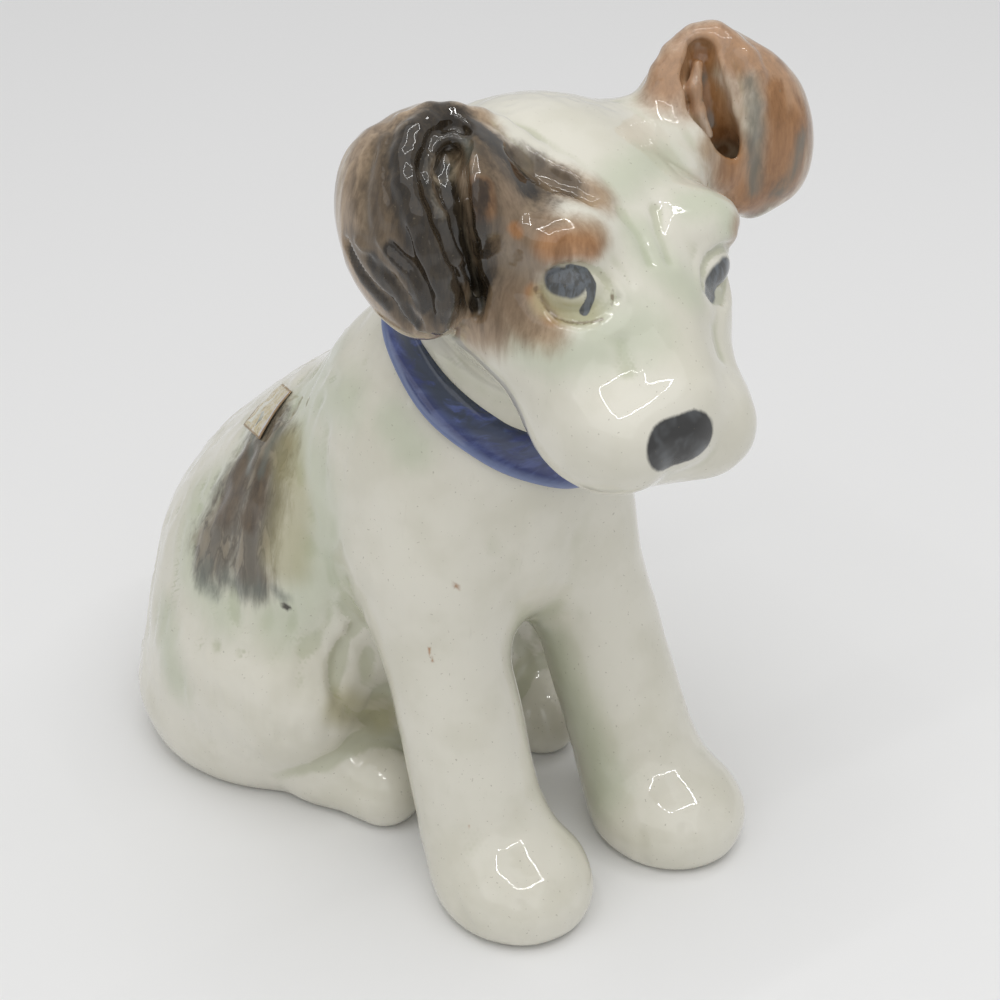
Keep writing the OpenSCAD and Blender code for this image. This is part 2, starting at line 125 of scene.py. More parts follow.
def depth(p, m):
    """Distance from points to one mass, below zero inside it."""
    if "at" in m:
        u = ((p - m["at"]) @ m["turn"]) / m["radii"]
        length = np.sqrt((u * u).sum(-1)) + 1e-9
        slope = np.sqrt(((u / m["radii"]) ** 2).sum(-1)) + 1e-9
        return length * (length - 1) / slope
    axis = m["b"] - m["a"]
    t = np.clip((p - m["a"]) @ axis / (axis @ axis), 0, 1)
    away = p - m["a"] - t[..., None] * axis
    return np.sqrt((away * away).sum(-1)) - (m["ends"][0] + (m["ends"][1] - m["ends"][0]) * t)


def press(a, b, k):
    """The lesser of two distances, with a fillet of size k where they meet."""
    h = np.maximum(k - np.abs(a - b), 0) / k
    return np.minimum(a, b) - h * h * k / 4


def joined(d, e, m):
    return press(d, e, m["fillet"]) if m["sign"] > 0 else -press(-d, e, m["fillet"])


def eggs(rows, at, size, turn=LEVEL):
    size = np.array(size, float)
    return [egg(at + turn @ (np.array(place) * size), np.array(radii) * size,
                turn @ turning(*lean), k * FILLET)
            for place, radii, lean, k in rows]


# Places, radii, leans in degrees and fillets of the eggs, as shares of the driving sizes
TRUNK_SHARES = [
    ([0, 0.007, 0.348], [0.471, 0.337, 0.354], (0, 0, 0), 1),
    ([0, 0.018, 0.107], [0.538, 0.35, 0.261], (0, 0, 0), 1),
    ([0, -0.134, 0.556], [0.385, 0.272, 0.386], (26, 0, 0), 1.4),
    ([0.317, -0.063, 0.246], [0.207, 0.266, 0.218], (0, 0, 0), 0.5),
    ([-0.317, -0.063, 0.246], [0.207, 0.266, 0.218], (0, 0, 0), 0.5)]
BREAST_SHARES = [
    ([0, -0.385, 0.78], [0.5, 0.23, 0.29], (0, 0, 0), 1.2),
    ([0, -0.43, 0.63], [0.27, 0.167, 0.163], (0, 0, 0), 0.8)]
SKULL_SHARES = [
    ([0, 0, 0], [0.5, 0.5, 0.5], (0, 0, 0), 1),
    ([0.35, 0, 0.26], [0.15, 0.22, 0.19], (0, 0, 0), 0.6),
    ([-0.35, 0, 0.26], [0.15, 0.22, 0.19], (0, 0, 0), 0.6),
    ([0.15, -0.38, -0.19], [0.24, 0.28, 0.29], (0, 0, 0), 1),
    ([-0.15, -0.38, -0.19], [0.24, 0.28, 0.29], (0, 0, 0), 1),
    ([0.24, -0.4, 0.19], [0.15, 0.12, 0.12], (0, 0, 0), 0.5),
    ([-0.24, -0.4, 0.19], [0.15, 0.12, 0.12], (0, 0, 0), 0.5)]
MUZZLE_SHARES = [
    ([0.206, -0.34, -0.753], [0.246, 0.468, 0.42], (0, 0, 0), 0.6),
    ([-0.206, -0.34, -0.753], [0.246, 0.468, 0.42], (0, 0, 0), 0.6),
    ([0.012, -0.346, -0.821], [0.232, 0.336, 0.33], (0, 0, 0), 0.5)]
HANGING_EAR_SHARES = [
    ([0.073, -0.103, 0.088], [0.333, 0.488, 0.46], (-24, -12, 0), 0.4),
    ([0.265, -0.219, 0.379], [0.373, 0.511, 0.233], (20, 9, 0), 0.5)]
PRICKED_EAR_SHARES = [
    ([0.361, -0.16, 0.457], [0.327, 0.315, 0.435], (0, -27.8, 0), 0.4),
    ([-0.08, -0.02, 0.596], [0.35, 0.277, 0.355], (0, 19.3, 0), 0.5)]

trunk = (eggs(TRUNK_SHARES, np.zeros(3), (SEAT_W, TRUNK_L, NECK_H))
         + eggs(BREAST_SHARES, np.zeros(3), (BREAST_W, TRUNK_L, NECK_H))
         + [roll([0, -0.354 * TRUNK_L, 0.881 * NECK_H],
                 [1.307 * HEAD_SHIFT, -0.497 * TRUNK_L, 1.117 * NECK_H],
                 0.594 * NECK_D, 0.418 * NECK_D, FILLET)])
BROW_Y = -0.4 * SKULL_L
LEG_SHIFT = 0.111 * STANCE_W    # both paws stand this far to the left
skull = (eggs(SKULL_SHARES, HEAD_AT, (SKULL_W, SKULL_L, SKULL_H), HEAD_TURN)
         + eggs(MUZZLE_SHARES, on_head(0, BROW_Y, 0), (MUZZLE_W, MUZZLE_L, MUZZLE_H), HEAD_TURN)
         + [roll(on_head(0, BROW_Y, 0), on_head(0, BROW_Y - 0.57 * MUZZLE_L, -0.52 * MUZZLE_H),
                 0.32 * MUZZLE_H, 0.26 * MUZZLE_H, 0.6 * FILLET)])


def foreleg(side):
    elbow = np.array([side * 0.302 * BREAST_W, -0.463 * TRUNK_L, ELBOW_H])
    paw = np.array([side * STANCE_W / 2 + LEG_SHIFT,
                    -0.54 * TRUNK_L - 0.483 * PAW_L - side * 0.007 * PAW_L,
                    0.34 * PAW_H])
    return [egg(elbow + [0, 0.03 * TRUNK_L, 0.09 * ELBOW_H],
                (0.5 * FORELEG_D, 0.7 * FORELEG_D, 0.345 * ELBOW_H), turning(-16), 0.8 * FILLET),
            roll(elbow, paw + [0, 0.316 * PAW_L, 0.6 * PAW_H],
                 0.55 * FORELEG_D, 0.58 * FORELEG_D, 0.8 * FILLET),
            egg(paw, (PAW_W / 2, PAW_L / 2, 0.66 * PAW_H), LEVEL, 0.6 * FILLET)]


def hind_foot(side):
    instep = np.array([side * 0.27 * SEAT_W, -0.229 * TRUNK_L, 0.45 * FOOT_W])
    toe = instep + [-side * 0.3 * FOOT_L, -0.85 * FOOT_L, -0.1 * FOOT_W]
    return [roll([side * 0.31 * SEAT_W, -0.07 * TRUNK_L, 0.6 * FOOT_W], instep,
                 0.65 * FOOT_W, 0.56 * FOOT_W, 0.3 * FILLET),
            roll(instep, toe, 0.55 * FOOT_W, 0.47 * FOOT_W, 0.3 * FILLET)]


hanging_ear = eggs(HANGING_EAR_SHARES, on_head(-0.58 * SKULL_W, 0, 0),
                   (HANGING_EAR_W, HANGING_EAR_W, HANGING_EAR_L), HEAD_TURN)
pricked_ear = eggs(PRICKED_EAR_SHARES, on_head(0.54 * SKULL_W, 0, 0),
                   (PRICKED_EAR_W, PRICKED_EAR_W, PRICKED_EAR_L), HEAD_TURN)
# The tail curls to the right on the table, further out than its CAD solid, clear of the fuller trunk
tail_root = np.array([0, 0.305 * TRUNK_L, 0.8 * TAIL_D])
tail_bend = tail_root + TAIL_L * np.array([-0.4, 0.1, -0.06])
tail_tip = tail_bend + TAIL_L * np.array([-0.42, -0.16, -0.02])
tail = [roll(tail_root, tail_bend, 0.5 * TAIL_D, 0.44 * TAIL_D, 0.15 * FILLET),
        roll(tail_bend, tail_tip, 0.44 * TAIL_D, 0.32 * TAIL_D, 0.15 * FILLET)]
legs = foreleg(-1) + foreleg(1)
feet = hind_foot(-1) + hind_foot(1)
plain = trunk + legs + feet + skull + hanging_ear + pricked_ear


def distance(p, masses, band=3.0):
    """Distance to the masses at points p, each mass only where it can matter."""
    d = np.full(len(p), FAR)
    for m in masses:
        reach = m["bulk"] + m["fillet"] + band
        near = np.flatnonzero(((p - m["middle"]) ** 2).sum(-1) < reach * reach)
        if len(near):
            d[near] = joined(d[near], depth(p[near], m), m)
    return d


# A line of sight meets the figure between these distances from the camera, in millimetres
NEAREST, FARTHEST, LONGEST_STEP, SIGHT_STEPS = 330.0, 560.0, 20, 70


def seen(places, masses):
    """The points of the form that the photograph shows at some places, in pixels."""
    off = (np.array(places, float) - FRAME_PX / 2) / FOCAL_PX
    way = -BACK + CAMERA_RIGHT * off[:, :1] - CAMERA_UP * off[:, 1:]
    way /= np.linalg.norm(way, axis=1)[:, None]
    t = np.full(len(off), NEAREST)
    for _ in range(SIGHT_STEPS):
        t += np.minimum(distance(CAMERA_AT + t[:, None] * way, masses, band=6.0), LONGEST_STEP) * 0.9
    return CAMERA_AT + np.minimum(t, FARTHEST)[:, None] * way


# Carved and raised forms of the head, along lines in the photograph, in pixels. The hanging ear's first
VALLEY = [(455, 128), (449, 142), (443, 165), (446, 190), (452, 215), (460, 245), (467, 270), (474, 292),
          (479, 310)]
INNER_RIDGE = [(470, 158), (466, 141), (452, 134), (437, 140), (427, 158), (426, 184), (441, 216),
               (456, 256), (470, 300)]
FLAP_EDGE = [(425, 121), (412, 134), (404, 155), (406, 182), (418, 215), (428, 248), (440, 275),
             (446, 300), (440, 324)]
RIM = [(612, 200), (590, 187), (565, 172), (535, 155), (518, 141), (500, 128), (480, 117), (455, 111),
       (430, 113), (405, 122)]
# The pricked ear's
LEFT_VALLEY = [(702, 52), (702, 75), (708, 100), (718, 130), (728, 158), (737, 182), (744, 198)]
LEFT_EDGE = [(728, 44), (745, 58), (753, 76), (753, 100), (749, 125), (744, 150), (742, 176), (748, 200)]
LEFT_RIM = [(655, 92), (664, 72), (678, 52), (696, 38), (714, 35), (730, 44)]
LEFT_INNER = [(699, 62), (696, 85), (700, 108), (709, 132)]

valley = seen(VALLEY, plain)
inward = -BACK
# Where the left ear's root runs down behind the brow
root_top, root_low = seen([(697, 138), (752, 194)], plain)
ear_root = [root_top + share * (root_low - root_top) + 5.0 * inward for share in (0, 0.35, 0.7, 1)]
head_forms = (
    chain(ear_root, [4.2, 4.4, 4.2, 3.4], 3.0)
    + chain(seen(RIM, plain) + 1.5 * inward, [0.8, 1.1, 1.4, 1.6, 1.7, 1.7, 1.5, 1.4, 1.4, 1.4], 1.6)
    + chain(seen(FLAP_EDGE, plain) + 0.8 * inward, [1.4, 1.6, 1.7, 1.7, 1.6, 1.5, 1.5, 1.4, 1.3], 1.6)
    + chain(valley + 1.2 * inward, [2.4, 3.3, 3.6, 3.4, 3.0, 2.5, 2.1, 1.7, 1.1], 1.0, -1)
    + chain(valley[1:-1] + 4.0 * inward, [1.8, 2.2, 2.2, 1.9, 1.5, 1.2, 0.9], 0.8, -1)
    + chain(seen(INNER_RIDGE, plain) + 3.4 * inward, [0.6, 0.8, 0.8, 0.9, 0.9, 0.9, 0.9, 0.8, 0.6], 1.2)
    + chain(seen(LEFT_RIM, plain) + 1.7 * inward, [1.4, 1.8, 2.1, 2.2, 2.2, 2.0], 1.6)
    + chain(seen(LEFT_EDGE, plain) + 0.9 * inward, [1.9, 1.9, 1.8, 1.7, 1.6, 1.5, 1.4, 1.2], 1.4)
    + chain(seen(LEFT_VALLEY, plain) + 1.2 * inward, [2.4, 3.2, 3.4, 3.0, 2.5, 2.0, 1.2], 1.0, -1)
    + chain(seen(LEFT_INNER, plain) + 2.8 * inward, [0.9, 1.1, 1.1, 0.9], 1.0))

# Eyes: a shallow socket and the ball in it, the long axis from the outer to the inner corner
for side in (-1, 1):
    ball = HEAD_TURN @ turning(0, 0, side * 38) @ turning(-6, 0, 0)
    head_forms += [
        egg(on_head(side * 14.6, -29.2, 2.0), (6.8, 3.2, 4.5), ball, 2.2, -1),
        egg(on_head(side * 13.0, -22.4, 1.7), (6.3, 5.2, 4.5), ball, 0.9)]
# Nose
head_forms += [egg(on_head(-1.2, -40.6, -17.6), (6.2, 3.9, 4.9), HEAD_TURN @ turning(14, 0, 0), 1.4)]

sculpt = plain + head_forms
body_masses = trunk + legs + feet + skull + tail
# The vent hole under the seat and the hollow that it opens into
hollow = [roll([0, 0.15 * TRUNK_L, -6], [0, 0.15 * TRUNK_L, 14], VENT_D / 2, VENT_D / 2, 0.3, -1),
          egg([0, 2, 27], (25, 20, 17), LEVEL, 0.3, -1)]


LUTE_EDGE, SEAT_EDGE = 0.3, 0.9    # rounding of the luting faces' edges and of the edge at the table


def neck_side(p):
    """Height above the neck's luting face."""
    return (p - NECK_AT) @ NECK_TURN[:, 2]


def head_field(p):
    return -press(-distance(p, sculpt), neck_side(p), LUTE_EDGE)


def body_field(p):
    d = distance(p, body_masses + hollow)
    d = -press(-d, -neck_side(p), LUTE_EDGE)
    return -press(-d, p[..., 2], SEAT_EDGE)


def lattice(masses, lo, hi, h):
    """Distances to the masses at the corners of cells of size h, and their places along each axis."""
    n = [int(math.ceil((hi[i] - lo[i]) / h)) + 1 for i in range(3)]
    axes = [lo[i] + h * np.arange(n[i]) for i in range(3)]
    d = np.full(n, FAR)
    for m in masses:
        reach = m["bulk"] + m["fillet"] + 2.5
        s = tuple(slice(int(np.searchsorted(axes[i], m["middle"][i] - reach)),
                        int(np.searchsorted(axes[i], m["middle"][i] + reach))) for i in range(3))
        if any(q.stop <= q.start for q in s):
            continue
        p = np.stack(np.meshgrid(axes[0][s[0]], axes[1][s[1]], axes[2][s[2]], indexing="ij"), -1)
        d[s] = joined(d[s], depth(p, m), m)
    return d, axes


def plane_values(axes, normal, at):
    """Height of the lattice's corners above a plane."""
    x, y, z = [(axes[i] - at[i]) * normal[i] for i in range(3)]
    return x[:, None, None] + y[None, :, None] + z[None, None, :]


def surface_net(d, lo, h):
    """One vertex in each cell that the surface crosses, and the quads between them."""
    inside = d < 0
    corners = [(i, j, k) for i in (0, 1) for j in (0, 1) for k in (0, 1)]
    n = np.array(d.shape) - 1
    count = np.zeros(n, np.int8)
    for c in corners:
        count += inside[c[0]:c[0] + n[0], c[1]:c[1] + n[1], c[2]:c[2] + n[2]]
    cells = np.argwhere((count > 0) & (count < 8))
    ids = np.full(n, -1, np.int64)
    ids[tuple(cells.T)] = np.arange(len(cells))
    total, hits = np.zeros((len(cells), 3)), np.zeros(len(cells))
    for a in corners:
        for axis in range(3):
            if a[axis]:
                continue
            b = list(a)
            b[axis] = 1
            da, db = d[tuple((cells + a).T)], d[tuple((cells + b).T)]
            cross = (da < 0) != (db < 0)
            t = np.where(cross, da / np.where(cross, da - db, 1), 0)
            total += np.where(cross[:, None], np.array(a) + t[:, None] * (np.array(b) - np.array(a)), 0)
            hits += cross
    verts = lo + h * (cells + total / hits[:, None])
    quads = []
    for axis in range(3):
        u, w = [(1, 2), (2, 0), (0, 1)][axis]
        first = inside[tuple(slice(0, -1) if i == axis else slice(None) for i in range(3))]
        second = inside[tuple(slice(1, None) if i == axis else slice(None) for i in range(3))]
        edges = np.argwhere(first != second)
        edges = edges[(edges[:, u] > 0) & (edges[:, w] > 0) & (edges[:, u] < n[u]) & (edges[:, w] < n[w])]
        flip = ~first[tuple(edges.T)]
        ring = []
        for du, dw in ((1, 1), (0, 1), (0, 0), (1, 0)):
            c = edges.copy()
            c[:, u] -= du
            c[:, w] -= dw
            ring.append(ids[tuple(c.T)])
        q = np.stack(ring, 1)
        q[flip] = q[flip][:, ::-1]
        quads.append(q)
    return verts, np.concatenate(quads)


def settled(p, field, steps=2, e=0.04, most=0.35):
    """Moves points straight onto the surface."""
    for _ in range(steps):
        d = field(p)
        g = np.stack([field(p + e * LEVEL[i]) - field(p - e * LEVEL[i]) for i in range(3)], -1) / (2 * e)
        move = -(d / np.maximum((g * g).sum(-1), 0.4))[:, None] * g
        length = np.linalg.norm(move, axis=1)
        p = p + move * np.minimum(1, most / np.maximum(length, 1e-9))[:, None]
    return p


# Primes that scatter a lattice corner's three whole numbers into one
HASH, MASK = np.array([374761393, 668265263, 1274126177]), 0xFFFFFFFF


def noise(p, size, seed):
    """Smooth noise from -1 to 1 with grains of some size, in millimetres along x, y and z."""
    q = p / np.array(size, float) + seed * 17.3
    base = np.floor(q).astype(np.int64)
    f = q - base
    f = f * f * (3 - 2 * f)
    total = np.zeros(len(p))
    for i in (0, 1):
        for j in (0, 1):
            for k in (0, 1):
                n = ((base + [i, j, k]) * HASH).sum(1) & MASK
                n = ((n ^ (n >> 13)) * 1103515245) & MASK
                value = ((n ^ (n >> 16)) & 0xFFFF) / 32767.5 - 1
                share = np.where([i, j, k], f, 1 - f)
                total += value * (share[:, 0] * share[:, 1] * share[:, 2])
    return total


def along(p, line):
    """Distance of points to a line through some places."""
    best = np.full(len(p), 1e9)
    for a, b in zip(line[:-1], line[1:]):
        axis = b - a
        t = np.clip((p - a) @ axis / max(axis @ axis, 1e-9), 0, 1)
        away = p - a - t[:, None] * axis
        best = np.minimum(best, np.sqrt((away * away).sum(-1)))
    return best


def stroked(p, line, width):
    """Share of a stroke at each point: 1 on its middle line, 0 at its edge."""
    line = np.asarray(line, float)
    lo, hi = line.min(0) - width, line.max(0) + width
    near = np.flatnonzero(((p > lo) & (p < hi)).all(1))
    value = np.zeros(len(p))
    if len(near):
        value[near] = np.maximum(1 - along(p[near], line) / width, 0)
    return value


def vertex_normals(verts, quads, passes):
    a, b = verts[quads[:, 2]] - verts[quads[:, 0]], verts[quads[:, 3]] - verts[quads[:, 1]]
    face = np.cross(a, b)
    normals = np.zeros_like(verts)
    for i in range(4):
        for c in range(3):
            normals[:, c] += np.bincount(quads[:, i], face[:, c], len(verts))
    normals /= np.maximum(np.linalg.norm(normals, axis=1), 1e-12)[:, None]
    for _ in range(passes):
        normals = normals + spread(normals, quads)
        normals /= np.maximum(np.linalg.norm(normals, axis=1), 1e-12)[:, None]
    return normals


def spread(values, quads):
    """Mean of each vertex's neighbours."""
    total, count = np.zeros_like(values), np.zeros(len(values))
    for i in range(4):
        a, b = quads[:, i], quads[:, (i + 1) % 4]
        for x, y in ((a, b), (b, a)):
            for c in range(values.shape[1]):
                total[:, c] += np.bincount(x, values[y, c], len(values))
            count += np.bincount(x, minlength=len(values))
    return total / np.maximum(count, 1)[:, None]


# Relief: height in millimetres, width, places in pixels, and whether it is on both sides of the head
RELIEF = [
    (0.6, 1.1, [(358, 241), (368, 253), (379, 268), (393, 286), (413, 309), (420, 328)], False),
    (0.6, 1.1, [(380, 240), (393, 259), (412, 276), (424, 303), (428, 330)], False),
    (0.5, 1.1, [(410, 225), (418, 250), (431, 274), (441, 297)], False),
    (-0.9, 1.4, [(347, 243), (362, 275), (390, 303), (409, 328)], False),
    (-0.9, 1.4, [(369, 257), (391, 279), (407, 300), (419, 324)], False),
    (-0.8, 1.3, [(390, 246), (411, 266), (426, 289), (430, 314)], False),
    (-0.5, 1.8, [(372, 150), (364, 190), (366, 225)], False),
    (0.4, 1.8, [(385, 140), (380, 180), (388, 220)], False),
    (-0.35, 0.9, [(539, 291), (546, 277), (560, 267), (580, 264), (597, 271), (609, 284), (618, 298)], True),
    (0.25, 1.3, [(533, 287), (542, 269), (558, 257), (580, 254), (601, 262), (614, 277), (624, 296)], True),
    (-0.3, 0.9, [(539, 291), (548, 306), (560, 318), (580, 323), (600, 316), (618, 298)], True),
    (0.2, 1.3, [(534, 298), (544, 314), (558, 327), (581, 332), (604, 324)], True),
    (-0.8, 2.2, [(512, 152), (532, 170), (560, 186), (590, 200)], False),
    (0.5, 1.0, [(500, 128), (518, 141), (535, 155), (565, 172), (590, 187), (610, 199)], False),
    (-0.45, 2.2, [(624, 215), (640, 235), (650, 262)], True),
    (-0.35, 2.6, [(600, 330), (620, 345), (628, 370)], True),
    (-0.6, 2.2, [(352, 628), (338, 655), (332, 688), (346, 712), (378, 720)], False),
    (0.4, 2.4, [(345, 622), (330, 640), (322, 668), (328, 700)], False),
    (-0.35, 2.0, [(455, 900), (470, 925)], False),
    (-0.4, 2.0, [(520, 905), (528, 938)], False),
    (-0.4, 2.0, [(560, 890), (575, 922)], False),
    (-0.35, 2.0, [(640, 835), (645, 862)], False),
    (-0.4, 2.0, [(685, 828), (694, 858)], False),
    (-0.35, 2.0, [(715, 815), (730, 842)], False)]

# Paint: layer, width in millimetres and places in pixels
PAINT = [
    ("tan", 7.0, [(395, 122), (365, 150), (352, 195), (350, 235)]),
    ("tan", 4.0, [(400, 118), (440, 112), (480, 120)]),
    ("tan", 5.0, [(440, 325), (465, 330), (490, 325)]),
    ("tan", 6.0, [(345, 245), (358, 285), (388, 322), (425, 334)]),
    ("tan", 3.6, [(548, 182), (575, 190), (596, 198)]),
    ("tan", 4.0, [(510, 300), (522, 318), (545, 328)]),
    ("tan", 3.2, [(530, 232), (562, 230), (596, 236)]),
    ("tan", 3.0, [(737, 230), (742, 250)]),
    ("wash", 8.5, [(392, 160), (385, 195), (390, 235), (405, 280), (425, 310)]),
    ("wash", 5.5, [(362, 250), (382, 285), (405, 312)]),
    ("wash", 5.5, [(452, 130), (478, 140), (505, 158), (530, 180)]),
    ("wash", 2.8, [(520, 155), (545, 175), (570, 188)]),
    ("wash", 3.6, [(480, 180), (482, 230), (482, 290)]),
    ("mauve", 8.0, [(492, 170), (508, 210), (512, 255), (505, 295)]),
    ("mauve", 4.5, [(530, 195), (535, 225), (532, 260)]),
    ("mauve", 4.0, [(388, 175), (398, 210), (408, 240)]),
    ("dark", 4.6, [(446, 122), (422, 136), (411, 160), (414, 190), (424, 222), (436, 255), (446, 285),
                   (455, 306)]),
    ("dark", 3.4, [(443, 200), (450, 235), (456, 270), (460, 300)]),
    ("dark", 2.6, [(462, 123), (490, 138), (512, 158), (526, 185)]),
    ("dark", 1.5, [(448, 140), (440, 152), (442, 172)]),
    ("dark", 1.2, [(456, 220), (464, 255), (470, 285), (474, 305)]),
    ("dark", 1.8, [(480, 188), (480, 240), (484, 290)]),
    ("dark", 1.8, [(372, 262), (392, 290), (410, 322)]),
    ("dark", 1.6, [(392, 250), (412, 278), (424, 306)]),
    ("dark", 1.3, [(350, 250), (362, 280), (385, 306)]),
    ("mauve", 3.4, [(385, 200), (395, 228), (406, 252)]),
    ("slate", 0.8, [(427, 158), (426, 184), (441, 216), (458, 256)]),
    ("slate", 1.4, [(437, 140), (452, 134), (466, 141), (470, 158)]),
    ("slate", 1.8, [(446, 171), (458, 231), (470, 277), (479, 301)]),
    ("orange", 2.4, [(480, 190), (482, 212)]),
    ("orange", 1.2, [(514, 228), (517, 233)]),
    ("orange", 3.0, [(550, 248), (568, 246), (588, 247)]),
    ("orange", 1.2, [(740, 238), (742, 248)]),
    ("orange", 1.6, [(533, 292), (542, 306), (552, 318)]),
    ("orange", 6.5, [(668, 80), (690, 52), (715, 42), (742, 55)]),
    ("orange", 6.0, [(688, 95), (710, 100), (728, 130), (740, 170), (752, 200)]),
    ("orange", 8.0, [(765, 62), (785, 90), (790, 130), (778, 180)]),
    ("wash", 4.4, [(798, 125), (794, 155), (780, 188), (758, 205)]),
    ("wash", 2.2, [(776, 90), (780, 130), (776, 170)]),
    ("tan", 3.4, [(712, 150), (728, 180), (742, 202)]),
    ("wash", 2.6, [(702, 60), (706, 95), (716, 130), (730, 165)]),
    ("slate", 1.9, [(750, 80), (757, 110), (754, 150), (754, 190)]),
    ("slate", 2.2, [(802, 140), (796, 165), (780, 192)]),
    ("slate", 1.0, [(703, 78), (704, 100), (712, 125)]),
    ("wash", 1.3, [(722, 150), (735, 178), (745, 198)]),
    ("lid", 0.6, [(536, 289), (541, 297), (548, 307), (556, 316)]),
    ("lid", 0.4, [(556, 316), (566, 321), (582, 323), (602, 319)]),
    ("lid", 0.3, [(600, 273), (613, 290), (612, 305)]),
    ("yolk_and_shadow", 3.2, [(548, 300), (564, 311), (584, 312)]),
    ("sclera", 3.0, [(548, 300), (570, 306), (596, 303), (600, 286)]),
    ("iris", 2.4, [(558, 281), (573, 284)]),
    ("iris", 0.85, [(570, 269), (585, 272), (592, 285), (590, 300), (584, 311)]),
    ("iris", 2.5, [(710, 289), (718, 279), (726, 271)]),
    ("nose", 4.4, [(670, 446), (692, 438)]),
    ("green_wash_and_shade", 7.0, [(600, 335), (640, 330)]),
    ("green_wash_and_shade", 5.0, [(520, 345), (560, 358), (600, 350)]),
    ("green_wash_and_shade", 5.0, [(640, 235), (660, 265), (690, 290)]),
    ("green_wash_and_shade", 4.0, [(690, 205), (715, 200), (730, 225)]),
    ("green_wash_and_shade", 5.0, [(620, 180), (640, 165), (670, 160)]),
    ("green_wash_and_shade", 7.0, [(255, 430), (240, 470), (200, 500), (190, 560), (225, 610)]),
    ("green_wash_and_shade", 8.0, [(300, 430), (320, 480), (325, 530), (315, 590), (280, 620)]),
    ("green_wash_and_shade", 5.0, [(395, 420), (412, 450)]),
    ("green_wash_and_shade", 7.0, [(330, 360), (300, 400), (345, 400)]),
    ("green_wash_and_shade", 6.0, [(165, 620), (175, 680)]),
    # Painted shade: a greenish olive tint on the left foreleg where it lies in shade
    ("green_wash_and_shade", 7.0, [(548, 640), (575, 710), (602, 790)]),
    ("coat", 7.0, [(268, 435), (244, 475), (224, 520), (212, 550)]),
    ("coat", 6.0, [(278, 450), (264, 495), (252, 540), (250, 570)]),
    ("yolk_and_shadow", 6.0, [(290, 450), (294, 500), (286, 560)]),
    ("wash", 3.6, [(246, 462), (236, 490), (226, 510)]),
    ("wash", 2.6, [(264, 470), (258, 500), (248, 520)]),
    ("slate", 2.6, [(208, 565), (203, 582), (214, 590)]),
    ("slate", 2.8, [(228, 578), (242, 590), (260, 590)]),
    ("slate", 1.5, [(274, 588), (285, 597)]),
    ("dark", 0.7, [(284, 604), (288, 607)]),
    ("slate", 1.2, [(263, 415), (254, 440), (249, 470)]),
    ("slate", 1.1, [(280, 430), (268, 450), (262, 475)]),
    ("orange", 0.36, [(454, 584), (460, 588)]),
    ("orange", 0.28, [(429, 648), (432, 662)]),
    ("orange", 0.3, [(468, 826), (470, 828)]),
    # Painted shadow: an olive tint where the haunch meets the hind foot
    ("yolk_and_shadow", 4.5, [(340, 706), (362, 712), (384, 716)])]
LAYERS = ["wash", "coat", "mauve", "tan", "dark", "slate", "orange", "green_wash_and_shade", "lid", "yolk_and_shadow", "sclera",
          "iris", "nose"]
PAINT_SPREAD = 1.5    # the soft edge that a stroke of paint adds to its width
COVER_FADE = 2.5      # how far beyond an ear the colour round it fades out
SWELL, DENT = 0.22, 0.10
POOL_PASSES, POOL_GAIN = 6, 40    # how wide and how strongly the glaze pools in hollows


def detailed(verts, quads, field, hairy, covers):
    """Adds the relief and returns the vertices, normals and paint layers."""
    verts = settled(verts, field)
    normals = vertex_normals(verts, quads, 1)
    height = np.zeros(len(verts))
    for tall, width, places, both in RELIEF:
        line = seen(places, sculpt)
        for side in [line, mirrored(line)] if both else [line]:
            s = stroked(verts, side, width)
            height += tall * s * s * (3 - 2 * s)
    # Soft swellings, smaller dents, and locks of hair that run down, all fading out at the table
    height += SWELL * noise(verts, (9, 9, 9), 1) + DENT * noise(verts, (4.2, 4.2, 5.5), 2)
    bent = verts + 2.5 * noise(verts, (11, 11, 11), 5)[:, None]
    height += hairy(verts) * (1 - 2 * np.abs(noise(bent, (2.6, 2.6, 11), 3)))
    height *= np.clip(verts[:, 2] / 2.0, 0, 1)
    verts = verts + height[:, None] * normals
    verts[:, 2] = np.maximum(verts[:, 2], 0)
    layers = {name: np.zeros(len(verts)) for name in LAYERS}
    for name, width, places in PAINT:
        stroke = stroked(verts, seen(places, sculpt), width * PAINT_SPREAD)
        layers[name] = np.maximum(layers[name], stroke)
    for name, masses, most in covers:
        cover = most * np.clip(1 - distance(verts, masses) / COVER_FADE, 0, 1)
        layers[name] = np.maximum(layers[name], cover)
    bend = ((spread(verts, quads) - verts) * normals).sum(1)[:, None]
    for _ in range(POOL_PASSES):
        bend = spread(bend, quads)
    layers["pool"] = np.clip(bend[:, 0] * POOL_GAIN, -1, 1)
    return verts, vertex_normals(verts, quads, 2), layers


def hairy_body(p):
    """Height of the hair: more on the back and flanks than on the breast and legs."""
    flank = np.clip((p[:, 1] + 48) / 14, 0, 1) * np.clip((p[:, 2] - 8) / 15, 0, 1)
    return 0.05 + 0.26 * flank


def hairy_head(p):
    """Height of the hair: more on the back of the head than on the face."""
    return 0.05 + 0.12 * np.clip((p[:, 1] + 52) / 10, 0, 1)


# Colour that goes all round an ear: layer, masses and how much of it
ear_covers = [("tan", hanging_ear, 0.6), ("wash", hanging_ear, 0.3), ("orange", pricked_ear, 0.55)]
HEAD_H, BODY_H = 0.5, 0.75    # sizes of the skins' cells
head_lo, head_hi = np.array([-46.0, -95.0, 68.0]), np.array([56.0, -14.0, 150.0])
d, axes = lattice(sculpt, head_lo, head_hi, HEAD_H)
d = -press(-d, plane_values(axes, NECK_TURN[:, 2], NECK_AT), LUTE_EDGE)
head_v, head_q = surface_net(d, head_lo, HEAD_H)
head_v, head_n, head_paint = detailed(head_v, head_q, head_field, hairy_head, ear_covers)

